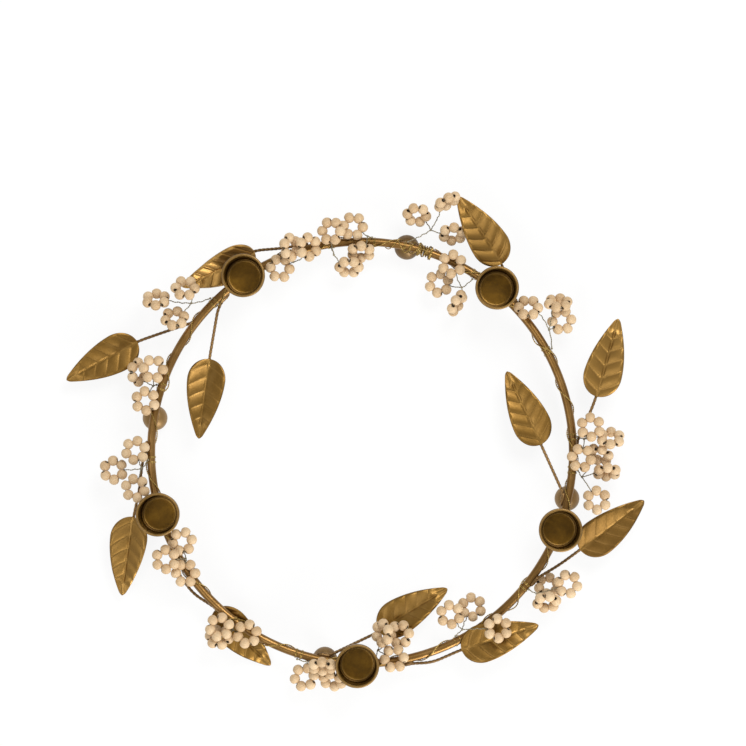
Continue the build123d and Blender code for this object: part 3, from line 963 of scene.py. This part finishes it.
# The wire stands a little off the rod here and there: an angle, and how far on the inner side or,
# below zero, on the outer
stand_offs = (
    (163.6, 1.5), (180.8, 1.3), (188.0, 1.4), (241.0, 1.5), (317.0, -1.6), (30.0, 1.0), (106.0, -1.0))
stand_off_reach = 3.0
spans = np.hypot(winding_line[:, 0], winding_line[:, 1])
round_hoop = np.degrees(np.arctan2(winding_line[:, 1], winding_line[:, 0])) % 360
for angle, amount in stand_offs:
    inward = np.clip((hoop_radius - spans) / binding_offset * np.sign(amount), 0, 1)
    push = -amount * inward * hump(round_hoop - angle, stand_off_reach)
    winding_line[:, :2] *= (1 + push / spans)[:, None]

# Thin wire wraps the rod on both sides of a sprig's foot: it starts and reaches by degrees round the hoop
wrap_turns = 1.7
wrap_radius = 0.22
wrap_offset = rod_radius + 0.28
wrap_start = 0.5
wrap_reach = 0.5


def foot_wrap(angle, seat, side):
    """Close turns of thin wire round the rod on one side of a sprig's foot."""
    shares = np.linspace(0, 1, 40)
    angles = angle + side * (wrap_start + wrap_reach * shares)
    seats = seat + 360 * wrap_turns * shares
    line = np.array([rod_point(a, s, wrap_offset) for a, s in zip(angles, seats)])
    return tube(line, wrap_radius, 6)


binding_shapes = [twisted(winding_line, binding_strand_radius, winding_pitch)]
for sprig in sprigs:
    binding_shapes += [foot_wrap(sprig.angle, sprig.seat, side) for side in (-1, 1)]
piece("look_binding_wire", joined(binding_shapes), binding_gold, "ring", ["binding_wire"])


# Sprigs: twisted soft wire and turned wooden beads
def loop_axes(loop, fork):
    """A loop's middle, and its directions towards the fork, square to that in its plane, and out of it."""
    heading = radians(loop.heading)
    middle = ring_point(loop.angle, loop.out, loop.up)
    normal = turn_about(np.array((0.0, 0.0, 1.0)), np.array((cos(heading), sin(heading), 0.0)), loop.lean)
    towards = fork - middle
    towards = unit(towards - normal * towards.dot(normal))
    return middle, towards, np.cross(normal, towards), normal


sprig_strand_radius = 0.21 * stalk_diameter
sprig_pitch = 2.8
stalk_bow = 0.05
branch_bow = 0.06
branch_seed_step = 1.7
thin_string_radius = 0.36 * string_diameter
loop_points = 72
knot_half_length = 0.55 * knot_diameter
knot_end_radius = 0.12
knot_swell = 0.42 * knot_diameter
knot_roundness = 0.96


def sprig_wire_shape(sprig):
    foot = rod_point(sprig.angle, sprig.seat, pivot_offset)
    fork = ring_point(*sprig.fork)
    seed = float(sprig.name)
    runs = [bowed(foot, fork, stalk_bow, seed)]
    circles = []
    turn = np.linspace(0, 2 * pi, loop_points, endpoint=False)[:, None]
    for count, loop in enumerate(sprig.loops):
        middle, towards, beside, _ = loop_axes(loop, fork)
        tie = middle + towards * string_radius
        runs.append(bowed(fork, tie, branch_bow, seed + count * branch_seed_step))
        circles.append(middle + string_radius * (np.cos(turn) * towards + np.sin(turn) * beside))
    shapes = [twisted(run, sprig_strand_radius, sprig_pitch) for run in runs]
    shapes += [tube(circle, thin_string_radius, 8, closed=True) for circle in circles]
    along = np.linspace(-1, 1, 9)
    swelling = knot_end_radius + knot_swell * np.sqrt(1 - knot_roundness * along**2)
    for knot in (foot, fork):
        line = knot + unit(fork - foot) * (along * knot_half_length)[:, None]
        shapes.append(tube(line, swelling, 10))
    return joined(shapes)


# Wood is turned fuller than the plain solid: a ball with flat ends that rests against its neighbours
full_half_length = 2.78
bead_touch = 0.03
bead_segments = 28
# Rows of the hole's mouth: how far past the hole's edge, how deep below the bead's end, and how much painted
# shade
mouth_rows = [(0.45, 0.03, 0.1), (0.16, 0.16, 0.6), (0.05, 0.5, 1.0)]
# Beads sit a little askew on their string, and some lean more, so that their holes show
bead_lean = 9
far_lean = 20
far_lean_share = 0.2
# Each is turned by hand: the smallest against the largest, and how far it is out of round
least_size = 0.965
out_of_round = 0.01
grain_spread = 40


def bead_rows():
    """Profile of a bead: outside from end to end, then back through the hole, with the hole's share of
    painted shade.
    """
    ball = bead_diameter / 2
    hole = bead_hole_diameter / 2
    widest_turn = np.arcsin(full_half_length / ball)
    turns = np.linspace(-widest_turn, widest_turn, 15)
    outside = [(ball * cos(t), ball * sin(t), 0.0) for t in turns]
    mouth = [(hole + past, full_half_length - depth, dark) for past, depth, dark in mouth_rows]
    far_mouth = [(r, -z, dark) for r, z, dark in mouth[::-1]]
    return np.array(outside + mouth + [(hole, 0, 1.0)] + far_mouth)


bead_lines = bead_rows()
bead_faces = grid_faces(len(bead_lines), bead_segments, wrap_rows=True, wrap_columns=True)


def bead_shape(chance):
    """A bead on its string: out from its loop's middle, up from the loop's plane and along the string."""
    vertices, _, attributes = lathe(bead_lines[:, :2], bead_segments, {"shade": bead_lines[:, 2]})
    size = chance.uniform(least_size, 1.0)
    round_axis = np.arctan2(vertices[:, 1], vertices[:, 0])
    width = size * (1 + out_of_round * np.sin(3 * round_axis + chance.uniform(0, 6)))
    lean = chance.uniform(-bead_lean, bead_lean)
    if chance.uniform(0, 1) < far_lean_share:
        lean = far_lean * np.sign(lean)
    c, s = cos(radians(lean)), sin(radians(lean))
    out, down, ahead = bead_circle + vertices[:, 0] * width, vertices[:, 1] * width, vertices[:, 2]
    down, ahead = down * c - ahead * s, down * s + ahead * c
    # A bead keeps to its own share of the loop, where it meets its neighbours
    room = out * np.tan(half_step) - bead_touch
    ahead = np.clip(ahead, -room, room)
    attributes["bead_local"] = vertices + chance.uniform(-grain_spread, grain_spread, 3)
    attributes["bead_tone"] = np.full(len(vertices), chance.uniform(0, 1))
    return np.stack((out, -down, ahead), axis=1), bead_faces, attributes


def sprig_bead_shape(sprig):
    fork = ring_point(*sprig.fork)
    chance = np.random.default_rng(int(sprig.name))
    shapes = []
    for loop in sprig.loops:
        middle, towards, beside, normal = loop_axes(loop, fork)
        for count in range(beads_per_loop):
            turn = (2 * count + 1) * half_step
            outward = towards * cos(turn) + beside * sin(turn)
            around = beside * cos(turn) - towards * sin(turn)
            points, faces, attributes = bead_shape(chance)
            shapes.append((middle + points @ np.array((outward, normal, around)), faces, attributes))
    return joined(shapes)


for sprig in sprigs:
    body = f"bead_sprig_{sprig.name}"
    look = f"look_sprig_{sprig.name}"
    piece(f"{look}_wire", sprig_wire_shape(sprig), sprig_dark, body, [f"{body}_wire"])
    piece(f"{look}_beads", sprig_bead_shape(sprig), bead_wood, body, [f"{body}_beads"])


# Stage: a white floor that keeps a soft shadow, a pale world, three soft lamps and the camera, in metres
scene = bpy.context.scene
scene.view_settings.view_transform = "Standard"

floor_reach = 3.0
floor_colour = (0.93, 0.93, 0.92, 1)
floor_glow_share = 0.86
world_strength = 0.52
Lamp = namedtuple("Lamp", "name place size watts")
lamps = [
    Lamp("key", (0.45, 0.85, 1.3), 0.8, 13),
    Lamp("front", (0.54, -1.1, 0.45), 0.8, 13),
    Lamp("fill", (-0.7, -0.5, 1.23), 1.0, 5),
]
camera_place = (0.0126, 0.0122, 2.017)
camera_aim = (0.0066, 0.0476, 0.017)
frame_width = 0.4476


def floor_paper():
    """Matt paper that glows by a share where the camera, a reflection or a clear piece looks at it."""
    n = Nodes("floor_paper")
    n.set(Base_Color=floor_colour, Roughness=0.9, Specular_IOR_Level=0.0)
    rays = n.add("ShaderNodeLightPath").outputs
    shown = rays["Is Camera Ray"]
    for ray in ("Is Glossy Ray", "Is Transmission Ray"):
        shown = n.math("MAXIMUM", shown, rays[ray])
    glow = n.add("ShaderNodeEmission").outputs[0]
    share = n.times(shown, floor_glow_share)
    blend = n.add("ShaderNodeMixShader", {0: share, 1: n.shader.outputs[0], 2: glow})
    n.feed(n.tree.nodes["Material Output"].inputs["Surface"], blend.outputs[0])
    return n.material


def make_floor():
    mesh = bpy.data.meshes.new("floor")
    corners = [(x * floor_reach, y * floor_reach, 0) for x, y in ((-1, -1), (1, -1), (1, 1), (-1, 1))]
    mesh.from_pydata(corners, [], [(0, 1, 2, 3)])
    mesh.materials.append(floor_paper())
    floor = bpy.data.objects.new("floor", mesh)
    scene.collection.objects.link(floor)


def make_world():
    world = bpy.data.worlds.new("studio")
    scene.world = world
    world.use_nodes = True
    background = world.node_tree.nodes["Background"]
    background.inputs["Color"].default_value = (1, 1, 1, 1)
    background.inputs["Strength"].default_value = world_strength


def look_at(holder, place, aim):
    """Put a camera or lamp at a place, facing aim, with Y upwards in its picture."""
    way = Vector(aim) - Vector(place)
    right = way.cross(Vector((0, 1, 0))).normalized()
    up = right.cross(way).normalized()
    turn = Matrix((right, up, -way.normalized())).transposed()
    holder.matrix_world = Matrix.Translation(place) @ turn.to_4x4()


def make_lamp(lamp):
    light = bpy.data.lights.new(lamp.name, "AREA")
    light.shape = "DISK"
    light.size = lamp.size
    light.energy = lamp.watts
    holder = bpy.data.objects.new(lamp.name, light)
    scene.collection.objects.link(holder)
    look_at(holder, lamp.place, (0, 0, 0))


def make_camera():
    camera = bpy.data.cameras.new("camera")
    holder = bpy.data.objects.new("camera", camera)
    scene.collection.objects.link(holder)
    distance = np.linalg.norm(np.subtract(camera_place, camera_aim))
    camera.sensor_width = 36.0
    camera.lens = camera.sensor_width * distance / frame_width
    camera.clip_end = 20.0
    look_at(holder, camera_place, camera_aim)
    scene.camera = holder


make_floor()
make_world()
for lamp in lamps:
    make_lamp(lamp)
make_camera()
